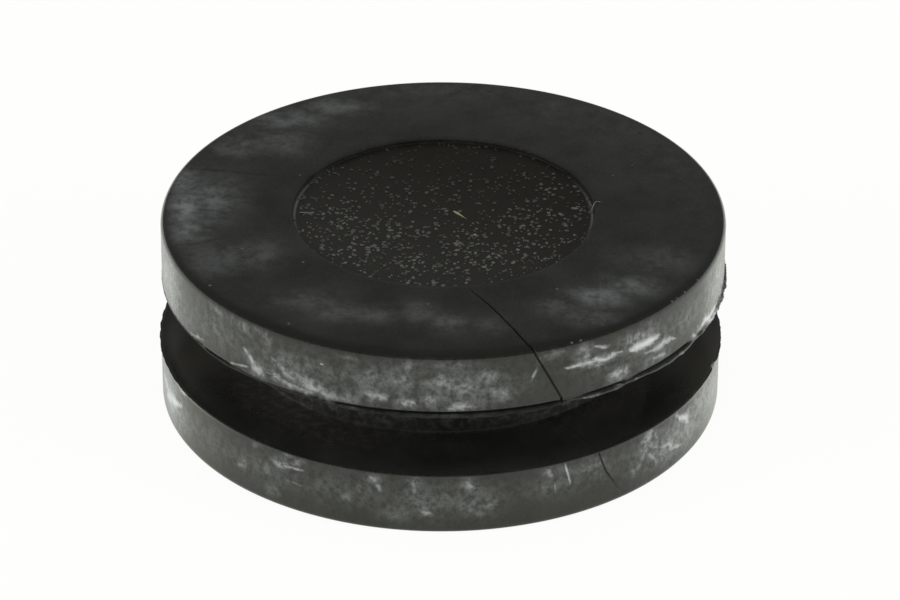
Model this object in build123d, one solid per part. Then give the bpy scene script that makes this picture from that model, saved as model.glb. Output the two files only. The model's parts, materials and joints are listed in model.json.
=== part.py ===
from build123d import *
import os

# Blind grommet, moulded in rubber as one piece. Two flanges grip the edge of a
# round hole in a panel, a core fills the hole, and a membrane closes the bore
# just under the upper face. The whole piece is one section turned about Z.
# Millimetres. The origin is the centre of the underside, and Z runs up the axis.

# Panel hole, and the core that is squeezed into it
panel_hole_diameter = 20.0
core_oversize = 0.2
core_wall = 2.6

# Flanges, with the panel groove between them
flange_overlap = 3.9
upper_flange_thickness = 3.25
lower_flange_thickness = 3.25
groove_width = 3.5

# Membrane across the bore, set back from the upper face
recess_depth = 0.25
membrane_thickness = 1.0

# Rounded edges
upper_edge_radius = 0.42
lower_edge_radius = 0.25
recess_edge_share = 0.4

# Distances from the axis
core_radius = (panel_hole_diameter + core_oversize) / 2
bore_radius = core_radius - core_wall
flange_radius = core_radius + flange_overlap

# Heights above the underside
groove_bottom = lower_flange_thickness
groove_top = groove_bottom + groove_width
upper_face = groove_top + upper_flange_thickness
membrane_top = upper_face - recess_depth
membrane_underside = membrane_top - membrane_thickness

# The recess is shallow, so its rounded edge follows its depth
recess_edge_radius = recess_depth * recess_edge_share


def grommet_section():
    """Half section on the XZ plane, from the axis outwards."""
    # Each corner is a distance from the axis, a height and a corner radius.
    # Corners are sharp where two parts of the mould meet: at the bore, at the
    # groove and at the foot of the recess.
    corners = [
        (bore_radius, membrane_underside, 0),
        (bore_radius, 0, 0),
        (flange_radius, 0, lower_edge_radius),
        (flange_radius, groove_bottom, 0),
        (core_radius, groove_bottom, 0),
        (core_radius, groove_top, 0),
        (flange_radius, groove_top, 0),
        (flange_radius, upper_face, upper_edge_radius),
        (bore_radius, upper_face, recess_edge_radius),
        (bore_radius, membrane_top, 0),
    ]
    underside_centre = (0, membrane_underside)
    top_centre = (0, membrane_top)
    points = [(distance, height) for distance, height, _ in corners]
    radii = [radius for _, _, radius in corners]
    outline = FilletPolyline(underside_centre, *points, top_centre, radius=radii)
    axis_line = Line(top_centre, underside_centre)
    return Plane.XZ * make_face(outline.edges() + axis_line.edges())


grommet = revolve(grommet_section(), axis=Axis.Z)

os.makedirs("parts", exist_ok=True)
export_step(grommet, "parts/grommet.step")
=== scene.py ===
import json
import math
from collections import namedtuple

import bmesh
import bpy
import numpy as np
from mathutils import Matrix, Vector, noise


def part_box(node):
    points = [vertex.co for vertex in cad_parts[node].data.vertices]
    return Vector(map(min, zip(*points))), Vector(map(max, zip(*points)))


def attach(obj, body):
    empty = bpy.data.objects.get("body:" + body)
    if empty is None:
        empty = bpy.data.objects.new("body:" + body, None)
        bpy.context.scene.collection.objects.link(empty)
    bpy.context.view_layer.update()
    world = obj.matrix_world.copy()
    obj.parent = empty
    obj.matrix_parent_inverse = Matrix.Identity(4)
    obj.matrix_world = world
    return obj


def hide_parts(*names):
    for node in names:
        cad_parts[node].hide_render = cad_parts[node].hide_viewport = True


# Blind rubber grommet: a turned body with two flanges, a panel groove and a membrane.
# The frame is in metres. Lengths below are in metres, or in millimetres where a comment says so.

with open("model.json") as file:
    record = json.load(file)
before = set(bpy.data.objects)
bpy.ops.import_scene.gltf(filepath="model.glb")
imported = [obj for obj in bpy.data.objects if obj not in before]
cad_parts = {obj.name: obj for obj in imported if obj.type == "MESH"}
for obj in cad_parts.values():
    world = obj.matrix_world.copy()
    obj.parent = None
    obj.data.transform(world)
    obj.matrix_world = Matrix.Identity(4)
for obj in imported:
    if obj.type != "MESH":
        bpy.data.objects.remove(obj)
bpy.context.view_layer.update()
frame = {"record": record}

mm = 0.001
full_turn = 2 * math.pi
weld_distance = 2e-7

# Sizes that the frame gives
_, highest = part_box("grommet")
flange_radius = highest.x
upper_face = highest.z
panel_groove = next(m for m in frame["record"]["mounts"] if m["name"] == "panel_groove")
core_radius = panel_groove["dims"]["r_mm"] * mm
groove_width = panel_groove["dims"]["length_mm"] * mm
groove_middle = panel_groove["pos_m"][2]
groove_bottom = groove_middle - groove_width / 2
groove_top = groove_middle + groove_width / 2

# Sizes of the bore and its membrane
bore_radius = 7.5 * mm
recess_depth = 0.25 * mm
membrane_thickness = 1.0 * mm
membrane_top = upper_face - recess_depth
membrane_underside = membrane_top - membrane_thickness

# Rounded edges of the moulding
upper_edge_radius = 0.42 * mm
lower_edge_radius = 0.25 * mm
recess_edge_radius = 0.1 * mm
recess_foot_radius = 0.05 * mm
groove_foot_radius = 0.14 * mm
bore_mouth_radius = 0.12 * mm
bore_foot_radius = 0.2 * mm
arc_stretch = 0.11 * mm
least_arc_steps = 3

# The mould's halves stand a little out of line, so the lower flange sits to one side
mould_shift = -0.126 * mm

# Thin rubber at the edges where the mould parts: a lip that hangs from the upper flange under a crease,
# and a fin that stands out round the lower flange
lip_thickness = 0.07 * mm
lip_root = 0.5 * mm
lip_lean = 0.035 * mm
crease_rise = 0.12 * mm


# Wiring of node trees

def arithmetic(operation, swapped=False):
    """A method of a value that joins it with another value, or a number, by a math node."""
    def join(value, other):
        pair = (other, value) if swapped else (value, other)
        return value.wiring.math(operation, *pair)
    return join


class Value:
    """What a socket of a node tree gives. Arithmetic with values adds math nodes to the tree."""

    def __init__(self, wiring, socket):
        self.wiring = wiring
        self.socket = socket

    __add__ = arithmetic("ADD")
    __sub__ = arithmetic("SUBTRACT")
    __rsub__ = arithmetic("SUBTRACT", swapped=True)
    __mul__ = arithmetic("MULTIPLY")
    __truediv__ = arithmetic("DIVIDE")
    __gt__ = arithmetic("GREATER_THAN")
    __lt__ = arithmetic("LESS_THAN")

    def __neg__(self):
        return self * -1


class Wiring:
    """Adds nodes to one tree. An input takes a value of the tree, which is linked, or a constant."""

    def __init__(self, tree):
        self.tree = tree

    def node(self, kind, inputs=None, **settings):
        made = self.tree.nodes.new(kind)
        for name, setting in settings.items():
            setattr(made, name, setting)
        for name, fed in (inputs or {}).items():
            self.feed(made, name, fed)
        return made

    def feed(self, made, name, fed):
        """Feeds one input of a node, by its name or its number."""
        if isinstance(name, int):
            socket = made.inputs[name]
        else:
            socket = next(s for s in made.inputs if s.name == name and s.enabled)
        if isinstance(fed, Value):
            self.tree.links.new(fed.socket, socket)
        else:
            socket.default_value = fed

    def values(self, kind, inputs=None, **settings):
        """What a new node gives, by the names of the outputs in use."""
        made = self.node(kind, inputs, **settings)
        return {socket.name: Value(self, socket) for socket in made.outputs if socket.enabled}

    def value(self, kind, inputs=None, **settings):
        """What a new node gives at the first output in use."""
        return next(iter(self.values(kind, inputs, **settings).values()))

    def geometry(self, kind, inputs=None, **settings):
        """What a new geometry node gives at the first output in use."""
        return self.value("GeometryNode" + kind, inputs, **settings)

    def math(self, operation, *numbers, clamp=False):
        return self.value("ShaderNodeMath", dict(enumerate(numbers)), operation=operation, use_clamp=clamp)

    def blend(self, share, first, second):
        """A number that goes from first to second as share goes from 0 to 1."""
        return self.value("ShaderNodeMix", {"Factor": share, "A": first, "B": second}, clamp_factor=True)

    def colour(self, share, first, second):
        """A colour that goes from first to second as share goes from 0 to 1."""
        inputs = {"Factor": share, "A": first, "B": second}
        return self.value("ShaderNodeMix", inputs, data_type="RGBA", clamp_factor=True)

    def ramp(self, number, low, high, start, end, smooth=True):
        """A number that goes from start to end as another one goes from low to high."""
        inputs = {"Value": number, "From Min": low, "From Max": high, "To Min": start, "To Max": end}
        kind = "SMOOTHSTEP" if smooth else "LINEAR"
        return self.value("ShaderNodeMapRange", inputs, interpolation_type=kind, clamp=True)

    def vector(self, x, y, z):
        return self.value("ShaderNodeCombineXYZ", {"X": x, "Y": y, "Z": z})

    def parts(self, vector):
        return self.values("ShaderNodeSeparateXYZ", {"Vector": vector}).values()

    def vector_sum(self, first, second):
        return self.value("ShaderNodeVectorMath", {0: first, 1: second}, operation="ADD")

    def noise(self, vector, scale, detail, roughness=0.5):
        inputs = {"Vector": vector, "Scale": scale, "Detail": detail, "Roughness": roughness}
        return self.values("ShaderNodeTexNoise", inputs)["Fac"]


def new_tree(kind, name, inputs, outputs):
    """A node tree with named sockets, as its wiring and the values that it is given."""
    tree = bpy.data.node_groups.new(name, kind)
    for in_out, sockets in (("INPUT", inputs), ("OUTPUT", outputs)):
        for socket_name, socket_kind in sockets.items():
            tree.interface.new_socket(socket_name, in_out=in_out, socket_type="NodeSocket" + socket_kind)
    w = Wiring(tree)
    return w, w.values("NodeGroupInput")


# Geometry Nodes trees, and the meshes that they grow from

socket_kinds = {int: "Int", float: "Float", bpy.types.Material: "Material"}


def grow(name, seed_mesh, fill_tree, inputs):
    """Fills a Geometry Nodes tree, runs it on a mesh and gives the result as a plain mesh object."""
    sockets = {"Mesh": "Geometry"}
    for input_name, fed in inputs.items():
        sockets[input_name] = socket_kinds[type(fed)]
    w, given = new_tree("GeometryNodeTree", name, sockets, {"Result": "Geometry"})
    w.node("NodeGroupOutput", {"Result": fill_tree(w, given)})
    seed_object = place(name + "_seed", seed_mesh)
    modifier = seed_object.modifiers.new(name, "NODES")
    modifier.node_group = w.tree
    for item in w.tree.interface.items_tree:
        if item.name in inputs:
            modifier[item.identifier] = inputs[item.name]
    mesh = evaluated_mesh(seed_object)
    seed_object.modifiers.remove(modifier)
    bpy.data.objects.remove(seed_object)
    bpy.data.meshes.remove(seed_mesh)
    return place(name, mesh)


def evaluated_mesh(source):
    evaluated = source.evaluated_get(bpy.context.evaluated_depsgraph_get())
    return bpy.data.meshes.new_from_object(evaluated)


def place(name, mesh):
    mesh.name = name
    piece = bpy.data.objects.new(name, mesh)
    bpy.context.scene.collection.objects.link(piece)
    return piece


def new_mesh(name, points, edges=(), faces=()):
    mesh = bpy.data.meshes.new(name)
    mesh.from_pydata(points, edges, faces)
    return mesh


def carry(mesh, name, values):
    """Writes one number, or one vector, for each point of a mesh under a name."""
    values = np.asarray(values, np.float32)
    is_vector = values.ndim == 2
    attribute = mesh.attributes.new(name, "FLOAT_VECTOR" if is_vector else "FLOAT", "POINT")
    attribute.data.foreach_set("vector" if is_vector else "value", values.ravel())


def position(w):
    return w.geometry("InputPosition")


def named(w, name, kind="FLOAT"):
    """What the points of a tree's mesh carry under a name."""
    return w.geometry("InputNamedAttribute", {"Name": name}, data_type=kind)


def store(w, geometry, name, number, domain="POINT"):
    inputs = {"Geometry": geometry, "Name": name, "Value": number}
    return w.geometry("StoreNamedAttribute", inputs, data_type="FLOAT", domain=domain)


def finished(w, geometry, finish):
    """The end of a tree: real, smooth faces with their material."""
    real = w.geometry("RealizeInstances", {"Geometry": geometry})
    smooth = w.geometry("SetShadeSmooth", {"Geometry": real, "Shade Smooth": True})
    return w.geometry("SetMaterial", {"Geometry": smooth, "Material": finish})


# Section of the body

# A step that leaves the stretch before a corner unbroken
unbroken = mm
Corner = namedtuple("Corner", "distance height line depth rounding step hang stand crease gain",
                    defaults=(0, unbroken, 0, 0, 0, 0))


def section_corners():
    """Corners of the half section, from the middle of the membrane outwards, down and back to the axis.

    line is the angle, in degrees from the front, at which the first hair line crosses the corner, and depth
    the share of the line's depth there. step is the longest stretch between points on the way to the corner.
    hang, stand and crease are shares of how far the thin edges hang down and stand out, and of the depth
    of the crease above the lip. gain is the angle that the line gains round a rounded corner.
    """
    rim = flange_radius
    crease_top = groove_top + crease_rise
    lip_top = groove_top + 0.25 * crease_rise
    hair = 0.05 * crease_rise
    fin_foot = groove_bottom - lip_thickness
    recess_ring = bore_radius - 0.45 * mm
    face_step = 0.31 * mm
    rim_step = 0.11 * mm
    # Across the upper face: millimetres from the axis, angle and depth of the line
    line_on_face = [(8.0, 9.7, 0.4), (8.8, 11.8, 0.75), (9.6, 13.5, 0.9), (10.6, 14.9, 1), (12.0, 16.25, 1)]
    return [
        Corner(0, membrane_top, 8.8, 0),
        Corner(recess_ring, membrane_top, 8.8, 0, 0, 1.2 * mm),
        Corner(bore_radius, membrane_top, 8.8, 0, recess_foot_radius, 0.09 * mm),
        Corner(bore_radius, upper_face, 8.8, 0, recess_edge_radius, 0.08 * mm),
        *[Corner(far * mm, upper_face, line, depth, 0, face_step) for far, line, depth in line_on_face],
        Corner(rim, upper_face, 17.2, 1, upper_edge_radius, face_step, gain=1.1),
        Corner(rim, 8.4 * mm, 20.8, 0.9, 0, rim_step),
        Corner(rim, crease_top + 0.3 * crease_rise, 23.9, 0.9, 0, rim_step),
        Corner(rim, crease_top, 23.9, 1),
        Corner(rim, crease_top - hair, 23.9, 1, crease=1),
        Corner(rim, lip_top + hair, 24.0, 1, hang=0.42, crease=1),
        Corner(rim - lip_lean, lip_top, 24.0, 0.6, hang=0.42, stand=0.9),
        Corner(rim, groove_top + hair, 24.0, 0.6, hang=0.9, stand=1),
        Corner(rim - 0.3 * lip_thickness, groove_top, 24.0, 0.6, hang=1, stand=0.8),
        Corner(rim - lip_thickness, groove_top, 24.1, 0.6, hang=0.95, stand=0.4),
        Corner(rim - lip_root, groove_top, 24.3, 1),
        Corner(core_radius, groove_top, 26.0, 0.5, groove_foot_radius, 0.6 * mm),
        Corner(core_radius, groove_bottom, 33.0, 0.1, groove_foot_radius, 0.5 * mm),
        Corner(rim - 2 * lip_thickness, groove_bottom, 33.1, 0.1, 0, 0.5 * mm),
        Corner(rim - 0.1 * lip_thickness, groove_bottom, 33.2, 0, stand=1),
        Corner(rim, groove_bottom - 0.5 * lip_thickness, 33.2, 0, stand=1),
        Corner(rim, fin_foot, 33.2, 0.5, stand=0.6),
        Corner(rim, fin_foot - lip_thickness, 33.3, 0.8),
        Corner(rim, 2.0 * mm, 35.0, 0.75, 0, rim_step),
        Corner(rim, 0.65 * mm, 38.5, 0.4, 0, rim_step),
        Corner(rim, 0, 40.0, 0, lower_edge_radius, rim_step),
        Corner(bore_radius, 0, 40.0, 0, bore_mouth_radius, 0.9 * mm),
        Corner(bore_radius, membrane_underside, 40.0, 0, bore_foot_radius, 1.5 * mm),
        Corner(0, membrane_underside, 40.0, 0, 0, 1.5 * mm),
    ]


def rounded_corner(before, corner, after):
    """Points of one corner of the section: the corner itself, or an arc that is tangent to both sides."""
    here = Vector((corner.distance, corner.height))
    if not corner.rounding:
        return [here]
    way_in = (here - Vector((before.distance, before.height))).normalized()
    way_out = (Vector((after.distance, after.height)) - here).normalized()
    inward = Vector((-way_in.y, way_in.x))
    if inward.dot(way_out) < 0:
        inward.negate()
    turn = way_in.angle(way_out)
    start = here - way_in * corner.rounding * math.tan(turn / 2)
    steps = max(math.ceil(turn * corner.rounding / arc_stretch), least_arc_steps)
    points = []
    for k in range(steps + 1):
        angle = turn * k / steps
        points.append(start + corner.rounding * (math.sin(angle) * way_in + (1 - math.cos(angle)) * inward))
    return points


# The second hair line crosses part of the upper face only. It starts and ends at these distances from the
# axis, and slants from a place where its angle is known, in degrees from the front.
second_line_start = 9.6 * mm
second_line_end = 13.4 * mm
second_line_share = 0.4
angle_distance = 9.7 * mm
angle_there = 360 - 111.3
slant = 0.83 / mm


def second_line_at(distance, height):
    """Angle and depth of the second hair line at points of the section."""
    angle = angle_there + slant * (np.minimum(distance, flange_radius) - angle_distance)
    on_face = height > upper_face - upper_edge_radius / 2
    crossed = on_face & (distance > second_line_start) & (distance < second_line_end)
    return np.radians(angle), second_line_share * crossed


def section_mesh():
    """The half section as a line of points in the XZ plane, with what each point carries."""
    corners = section_corners()
    points = []
    loads = []
    for k, corner in enumerate(corners):
        stretch = rounded_corner(corners[k - 1], corner, corners[(k + 1) % len(corners)])
        load = np.array((corner.line, corner.depth, corner.hang, corner.stand, corner.crease))
        if points:
            start = points[-1]
            start_load = loads[-1]
            steps = math.ceil((stretch[0] - start).length / corner.step)
            for j in range(1, steps):
                points.append(start.lerp(stretch[0], j / steps))
                loads.append(start_load + j / steps * (load - start_load))
        for j, point in enumerate(stretch):
            points.append(point)
            gained = corner.gain * j / max(len(stretch) - 1, 1)
            loads.append(load + (gained, 0, 0, 0, 0))

    last = len(points) - 1
    outward = []
    for k in range(len(points)):
        travel = (points[min(k + 1, last)] - points[max(k - 1, 0)]).normalized()
        outward.append((-travel.y, 0, travel.x))
    edges = [(k, k + 1) for k in range(last)]
    mesh = new_mesh("grommet_section", [(p.x, 0, p.y) for p in points], edges)
    loads = np.array(loads)
    loads[:, 0] = np.radians(loads[:, 0])
    for name, amounts in zip(("first_line", "first_depth", "hang", "stand", "crease"), loads.T):
        carry(mesh, name, amounts)
    angles, depths = second_line_at(*np.transpose(points))
    carry(mesh, "second_line", angles)
    carry(mesh, "second_depth", depths)
    carry(mesh, "outward", outward)
    return mesh


# How far the thin edges reach round the turn: degrees from the front, share of the full reach
lip_hang_curve = [
    (-180, 0.2), (-120, 0.3), (-80, 0.1), (-60, 0.12), (-50, 0.34), (-40, 0.2), (-28, 0.22), (-15, 0.5),
    (0, 0.55), (20, 0.56), (26, 0.3), (31, 0.55), (36, 0.55), (40, 0.42), (46, 0.55), (54, 0.64),
    (57, 0.62), (60, 0.5), (63, 0.3), (68, 0.12), (75, 0.06), (120, 0.2), (180, 0.2),
]
crease_curve = [
    (-180, 0.5), (-120, 0.2), (-60, 0.0), (-50, 0.35), (-42, 0.0), (-28, 0.05), (-20, 0.5), (-12, 0.75),
    (0, 1.0), (22, 0.9), (26, 0.1), (30, 0.9), (36.5, 1.0), (39, 0.2), (43, 0.9), (55, 1.0), (59, 0.1),
    (62, 0.0), (120, 0.2), (150, 0.6), (180, 0.5),
]
lip_stand_curve = [
    (-180, 0.1), (-110, 0.25), (-80, 0.15), (-60, 0.05), (-40, 0.1), (0, 0.08), (40, 0.2), (58, 0.3),
    (64, 0.6), (75, 0.95), (100, 0.9), (130, 0.2), (180, 0.1),
]
fin_stand_curve = [
    (-180, 0.1), (-115, 0.35), (-90, 0.55), (-65, 0.4), (-40, 0.05), (0, 0.02), (45, 0.05), (70, 0.3),
    (90, 0.6), (115, 0.35), (180, 0.1),
]


def reach_curve(w, turn_share, shape):
    """Share of the full reach at a share of the turn, which starts at the back."""
    made = w.node("ShaderNodeFloatCurve", {"Value": turn_share})
    points = made.mapping.curves[0].points
    places = [(angle / 360 + 0.5, reach) for angle, reach in shape]
    points[0].location = places[0]
    points[1].location = places[-1]
    for place_on_curve in places[1:-1]:
        points.new(*place_on_curve)
    made.mapping.update()
    return Value(w, made.outputs[0])


# What the tree of the turned body is given, apart from its finishes
turned_body_inputs = {
    # Columns of points round the turn, which gather at the hair lines where the rubber met in the mould
    "First Sector Columns": 384,
    "Second Sector Columns": 206,
    "Fine Columns": 6,
    "Fine Step": 0.029 * mm / flange_radius,
    "Line Half Columns": 2.7,
    "Line Depth": 0.13 * mm,
    # Thin edges, and the nick in the fin
    "Lip Reach": 0.5 * mm,
    "Crease Depth": 0.2 * mm,
    "Fin Reach": 0.15 * mm,
    "Fin Grain": 26.0,
    "Nick Angle": math.radians(75.5),
    "Nick Half Width": math.radians(2.2),
    "Nick Depth": 0.1 * mm,
    # The moulding as a whole, and the slight unevenness of its surface
    "Groove Middle": groove_middle,
    "Groove Width": groove_width,
    "Mould Shift": mould_shift,
    "Uneven Height": 0.012 * mm,
    "Uneven Scale": 260.0,
    "Membrane Radius": bore_radius - 0.3 * recess_foot_radius,
}


def turned_body(w, given):
    """Turns the section about Z. Columns of points gather at the two hair lines, which slant across it."""
    # Grid of columns round the turn and rows along the section
    section = given["Mesh"]
    first_columns = given["First Sector Columns"]
    second_columns = given["Second Sector Columns"]
    rows = w.geometry("AttributeDomainSize", {"Geometry": section}, component="MESH")
    columns = first_columns + second_columns + 1
    grid = w.geometry("MeshGrid", {"Vertices X": columns, "Vertices Y": rows})
    index = w.geometry("InputIndex")
    column = w.value("FunctionNodeIntegerMath", {0: index, 1: rows}, operation="DIVIDE_FLOOR")
    row = w.value("FunctionNodeIntegerMath", {0: index, 1: rows}, operation="MODULO")

    def sample(carried_value, kind):
        inputs = {"Geometry": section, "Value": carried_value, "Index": row}
        return w.geometry("SampleIndex", inputs, data_type=kind, domain="POINT")

    def along_section(name, kind="FLOAT"):
        return sample(named(w, name, kind), kind)

    # The sector between the hair lines that a column is in
    after_second = column > first_columns - 0.5
    step_in = column - after_second * first_columns
    steps = w.blend(after_second, first_columns, second_columns)
    first_line = along_section("first_line")
    second_line = along_section("second_line")
    start = w.blend(after_second, first_line, second_line)
    end = w.blend(after_second, second_line, first_line + full_turn)

    # Angle of the column: fine steps beside the lines, even steps between
    fine = given["Fine Columns"]
    both_fine = fine * 2
    fine_steps = w.math("MINIMUM", step_in, fine) + w.math("MAXIMUM", step_in - (steps - fine), 0)
    even_steps = w.math("MINIMUM", w.math("MAXIMUM", step_in - fine, 0), steps - both_fine)
    even_step = (end - start - both_fine * given["Fine Step"]) / (steps - both_fine)
    angle = start + (fine_steps * given["Fine Step"] + even_steps * even_step)
    sine = w.math("SINE", angle)
    cosine = w.math("COSINE", angle)

    # Depth of the hair lines
    first_depth = along_section("first_depth")
    second_depth = along_section("second_depth")
    near_start = w.ramp(step_in, 0, given["Line Half Columns"], 1, 0)
    near_end = w.ramp(steps - step_in, 0, given["Line Half Columns"], 1, 0)
    line_at_start = near_start * w.blend(after_second, first_depth, second_depth)
    line_at_end = near_end * w.blend(after_second, second_depth, first_depth)
    line = line_at_start + line_at_end

    # Thin edges, whose reach changes round the turn and breaks up in a fine grain
    section_point = sample(position(w), "FLOAT_VECTOR")
    distance, _, height = w.parts(section_point)
    turn_share = w.math("FRACT", angle / full_turn + 0.5)
    upper = height > given["Groove Middle"]
    fin_share = reach_curve(w, turn_share, fin_stand_curve)
    lip_share = reach_curve(w, turn_share, lip_stand_curve)
    around = w.vector(sine, cosine, upper * 5)
    ragged = w.ramp(w.noise(around, given["Fin Grain"], 3, 0.55), 0.3, 0.7, 0.5, 1.3)
    wavy = w.ramp(w.noise(around, given["Fin Grain"] * 0.5, 3), 0.3, 0.7, 0.85, 1.15)
    from_nick = w.math("ABSOLUTE", angle - given["Nick Angle"])
    nick = w.ramp(from_nick, 0, given["Nick Half Width"], 1, 0) * (1 - upper)
    full_stand = w.blend(upper, fin_share, lip_share) * ragged * given["Fin Reach"]
    stand = w.blend(nick, full_stand, -given["Nick Depth"])
    hang = reach_curve(w, turn_share, lip_hang_curve) * wavy * given["Lip Reach"]
    sunk = reach_curve(w, turn_share, crease_curve) * wavy * given["Crease Depth"]
    out = stand * along_section("stand") - sunk * along_section("crease")
    thin_edge = w.vector(out, 0, hang * -along_section("hang"))

    # Unevenness and hair lines move a point along the section's outward way
    plain = w.vector(distance * sine, distance * -cosine, height)
    swell = (w.noise(plain, given["Uneven Scale"], 2) - 0.5) * given["Uneven Height"]
    lift = {0: along_section("outward", "FLOAT_VECTOR"), "Scale": swell - line * given["Line Depth"]}
    moves = w.vector_sum(thin_edge, w.value("ShaderNodeVectorMath", lift, operation="SCALE"))
    far, _, high = w.parts(w.vector_sum(section_point, moves))

    # The shift between the mould's halves fades in over the groove
    middle = given["Groove Middle"]
    half_width = given["Groove Width"] * 0.5
    shift = given["Mould Shift"] * w.ramp(high, middle - half_width, middle + half_width, 1, 0)
    turned = w.vector(far * sine + shift, far * -cosine, high)

    # The finished body
    marked = store(w, grid, "line", line)
    shaped = w.geometry("SetPosition", {"Geometry": marked, "Position": turned})
    merged = w.geometry("MergeByDistance", {"Geometry": shaped, "Distance": weld_distance})
    outside = w.geometry("FlipFaces", {"Mesh": merged})
    body = finished(w, outside, given["Flange Finish"])
    x, y, _ = w.parts(position(w))
    on_membrane = w.math("SQRT", x * x + y * y) < given["Membrane Radius"]
    inputs = {"Geometry": body, "Selection": on_membrane, "Material": given["Membrane Finish"]}
    return w.geometry("SetMaterial", inputs)


# Wear, painted light and painted shade on the body, in millimetres and in degrees from the front

rim_mm = flange_radius / mm
top_mm = upper_face / mm
bore_mm = bore_radius / mm
groove_bottom_mm = groove_bottom / mm
groove_middle_mm = groove_middle / mm
groove_top_mm = groove_top / mm
degree_mm = math.radians(1) * rim_mm

# Chalky scuffs on the rims: the angle and height of one end, the same for the other end, width, strength
Scuff = namedtuple("Scuff", "start_angle start_height end_angle end_height width strength")
upper_rim_scuffs = [
    (-61, 6.85, -55.5, 7.15, 0.12, 0.55), (-57.6, 7.05, -57.3, 7.05, 0.14, 0.7),
    (-46.8, 6.88, -41.3, 7.22, 0.1, 0.6), (-42.8, 8.05, -40.8, 7.4, 0.24, 0.5),
    (-40.4, 7.25, -38.6, 7.2, 0.36, 0.55), (-37, 7.28, -34.4, 7.4, 0.1, 0.5),
    (-36.5, 7.4, -26.5, 6.98, 0.34, 0.4), (-35.5, 8.1, -24.5, 7.1, 0.45, 0.35),
    (-24.1, 8.7, -23.95, 8.7, 0.08, 0.6), (-13.8, 7.5, -11.2, 7.35, 0.3, 0.35),
    (-8, 7.2, -5.5, 7.3, 0.25, 0.42), (1.6, 7.15, 5.5, 7.2, 0.22, 0.45), (17.4, 8.2, 18.6, 8.8, 0.12, 0.4),
    (25.2, 8.62, 35, 8.46, 0.24, 0.75), (30, 8.52, 37.4, 8.46, 0.26, 0.6),
    (32, 9.28, 35.2, 9.05, 0.18, 0.6), (30, 8.1, 33, 8.3, 0.2, 0.35), (35.8, 7.28, 38.4, 7.4, 0.32, 0.4),
    (39.8, 8.28, 47.9, 8.55, 0.46, 0.88), (44.2, 7.72, 53, 7.66, 0.32, 0.62),
    (46, 7.2, 50.5, 7.12, 0.2, 0.4), (53.4, 9.8, 53.7, 9.8, 0.14, 0.6), (60.4, 6.85, 61.3, 6.82, 0.18, 0.7),
    (64, 6.95, 74, 7.05, 0.3, 0.7), (28.3, 6.62, 33, 6.57, 0.17, 0.38), (35.5, 6.53, 38, 6.52, 0.17, 0.3),
    (41.5, 6.56, 43, 6.56, 0.17, 0.3), (54.5, 6.42, 57.5, 6.48, 0.18, 0.45),
]
lower_rim_scuffs = [
    (-76, 1.2, -66, 2.2, 0.45, 0.8), (-67, 3.05, -64, 3.0, 0.18, 0.7), (-45.7, 1.2, -40.8, 2.0, 0.22, 0.42),
    (-34.6, 2.4, -33, 2.45, 0.36, 0.42), (-33, 2.42, -27.8, 2.55, 0.12, 0.5),
    (-30.3, 2.65, -28, 3.1, 0.2, 0.3), (-32, 1.72, -28, 1.62, 0.12, 0.35),
    (-32.2, 3.05, -31.6, 3.08, 0.14, 0.5), (-14, 3.05, -12, 2.35, 0.18, 0.45),
    (-5.7, 3.1, -5.1, 2.2, 0.17, 0.4), (-4, 1.25, -1.8, 1.15, 0.18, 0.42),
    (5.2, 2.95, 6.4, 2.5, 0.17, 0.42), (21.1, 3.0, 21.8, 2.6, 0.17, 0.42),
    (23.3, 2.2, 23.5, 1.6, 0.12, 0.35), (25.5, 3.12, 26.8, 1.9, 0.1, 0.75), (47.4, 3.1, 42, 1.1, 0.32, 0.4),
    (47.4, 3.1, 45.4, 2.4, 0.3, 0.5), (48.2, 2.8, 48.7, 2.6, 0.2, 0.5),
    (44.4, 2.57, 45.3, 2.45, 0.18, 0.55), (46.9, 2.27, 47.7, 2.2, 0.18, 0.7),
    (49.4, 1.95, 50.2, 1.87, 0.15, 0.5), (51, 1.75, 53.2, 1.5, 0.2, 0.7),
    (50.6, 1.7, 50.4, 1.05, 0.2, 0.42), (46.3, 2.3, 49.3, 1.95, 0.2, 0.55),
    (52.4, 1.55, 57, 1.0, 0.28, 0.75), (47, 1.75, 49, 1.0, 0.25, 0.4), (55, 3.05, 60.8, 2.0, 0.34, 0.85),
]

# Streaks on the rims that the chalk has missed, written in the same way
clean_streaks = [
    (-5, 7.0, -5, 8.6, 0.3, 0.8), (-9.8, 7.0, -10.4, 8.2, 0.25, 0.5), (34, 8.9, 36.5, 8.75, 0.25, 0.7),
]

# Scuffs up to this width are fine ones. A cloud has a share of a scuff's chalk, and the front of the lower
# rim has a share of all its chalk. Faint chalk counts for less than its strength, by the power.
fine_scuff_width = 0.12
cloud_share = 0.39
lower_rim_share = 0.75
lower_front_spread = 60
chalk_power = 1.6
chalk_haze = 0.004

# Noise that breaks the edges of the chalk up: its scale and how far it moves them
edge_wander = [(0.9, 0.22), (0.33, 0.1)]
wander_seed = 8

# Scuffs on the side of the rims that the photograph doesn't show
unseen_count = 44
unseen_start = 78
unseen_end = 282
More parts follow.
